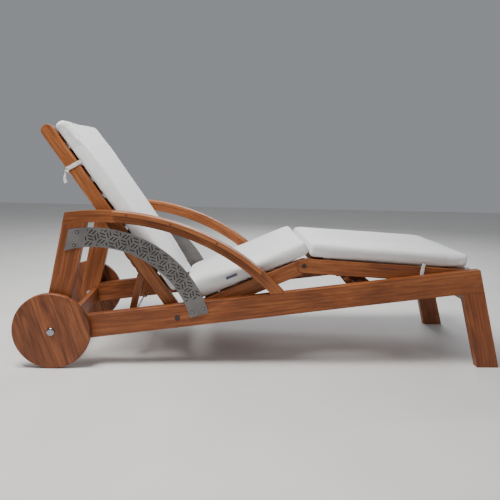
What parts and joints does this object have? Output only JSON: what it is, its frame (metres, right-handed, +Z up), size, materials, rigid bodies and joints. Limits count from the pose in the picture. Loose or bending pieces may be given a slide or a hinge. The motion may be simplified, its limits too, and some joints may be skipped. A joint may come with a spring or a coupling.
{
  "type": "reclining sun lounger",
  "caption": "Wooden sun lounger with a folding back, thigh and calf section, curved arms over slotted metal panels, solid wheels and three loose cushions.",
  "frame": {"origin": "on the floor, under the middle of the lounger's whole length and width, with the sections as in use", "axes": "+X towards the foot end, +Y to the left of a person lying on it, +Z up"},
  "size_m": [2.0014, 0.7346, 0.9803],
  "materials": {
    "wood": "oiled satin",
    "wheel_wood": "oiled satin",
    "plug_wood": "oiled end grain",
    "canvas": "woven, water-repellent",
    "tape": "woven tape",
    "panel_steel": "fine brushed",
    "dark_steel": "satin black",
    "steel": "zinc",
    "chrome": "polished",
    "nylon": "moulded"
  },
  "bodies": {
    "frame": {"arm_beam_left": "wood", "arm_beam_right": "wood", "arm_pad_left": "wood", "arm_pad_right": "wood", "arm_panel_left": "panel_steel", "arm_panel_right": "panel_steel", "arm_plugs": "plug_wood", "axle_caps": "chrome", "axle_left": "steel", "axle_right": "steel", "axle_washers": "steel", "back_hinge_bolts": "steel", "back_prop_rod": "steel", "foot_crossbar": "wood", "foot_leg_left": "wood", "foot_leg_right": "wood", "head_crossbar": "wood", "hinge_spacers": "nylon", "knee_crossbar": "wood", "knee_prop_rod": "steel", "panel_screws": "dark_steel", "rear_post_left": "wood", "rear_post_right": "wood", "seat_crossbar": "wood", "seat_hinge_bolts": "steel", "side_rail_left": "wood", "side_rail_right": "wood"},
    "backrest": {"back_cushion": "canvas", "back_rack_left": "wood", "back_rack_right": "wood", "back_rail_left": "wood", "back_rail_right": "wood", "back_slats": "wood", "back_ties": "tape"},
    "back_prop": {"back_prop_arm_left": "wood", "back_prop_arm_right": "wood", "back_prop_bar": "wood"},
    "seat": {"seat_rail_left": "wood", "seat_rail_right": "wood", "seat_slats": "wood", "seat_cushion": "canvas", "knee_bolts": "steel"},
    "calf": {"calf_cushion": "canvas", "calf_rail_left": "wood", "calf_rail_right": "wood", "calf_slats": "wood", "calf_ties": "tape"},
    "knee_prop": {"knee_prop_arm_left": "wood", "knee_prop_arm_right": "wood", "knee_prop_bar": "wood"},
    "wheel_left": {"wheel_left": "wheel_wood", "wheel_bush_left": "nylon"},
    "wheel_right": {"wheel_right": "wheel_wood", "wheel_bush_right": "nylon"}
  },
  "joints": [
    {"name": "back_recline", "type": "hinge", "parent": "frame", "child": "backrest", "pos_m": [-0.354, 0, 0.205], "axis": [0, 1, 0], "range_deg": [-55.2, 0]},
    {"name": "back_prop_fold", "type": "hinge", "parent": "frame", "child": "back_prop", "pos_m": [-0.558, 0, 0.16], "axis": [0, 1, 0], "range_deg": [-110.4, 0]},
    {"name": "seat_tilt", "type": "hinge", "parent": "frame", "child": "seat", "pos_m": [-0.292, 0, 0.218], "axis": [0, 1, 0], "range_deg": [0, 15.3]},
    {"name": "knee_bend", "type": "hinge", "parent": "seat", "child": "calf", "pos_m": [0.16068, 0, 0.41577], "axis": [0, 1, 0], "range_deg": [-26.7, 0]},
    {"name": "knee_prop_fold", "type": "hinge", "parent": "frame", "child": "knee_prop", "pos_m": [0.414, 0, 0.281], "axis": [0, 1, 0], "range_deg": [-60.2, 0]},
    {"name": "wheel_left_spin", "type": "hinge", "parent": "frame", "child": "wheel_left", "pos_m": [-0.848, 0, 0.153], "axis": [0, 1, 0], "continuous": true},
    {"name": "wheel_right_spin", "type": "hinge", "parent": "frame", "child": "wheel_right", "pos_m": [-0.848, 0, 0.153], "axis": [0, 1, 0], "continuous": true}
  ],
  "couplings": [
    {"joint": "back_prop_fold", "follows": "back_recline", "ratio": 2},
    {"joint": "knee_bend", "follows": "seat_tilt", "ratio": -1.7386},
    {"joint": "knee_prop_fold", "follows": "seat_tilt", "ratio": -3.92}
  ]
}
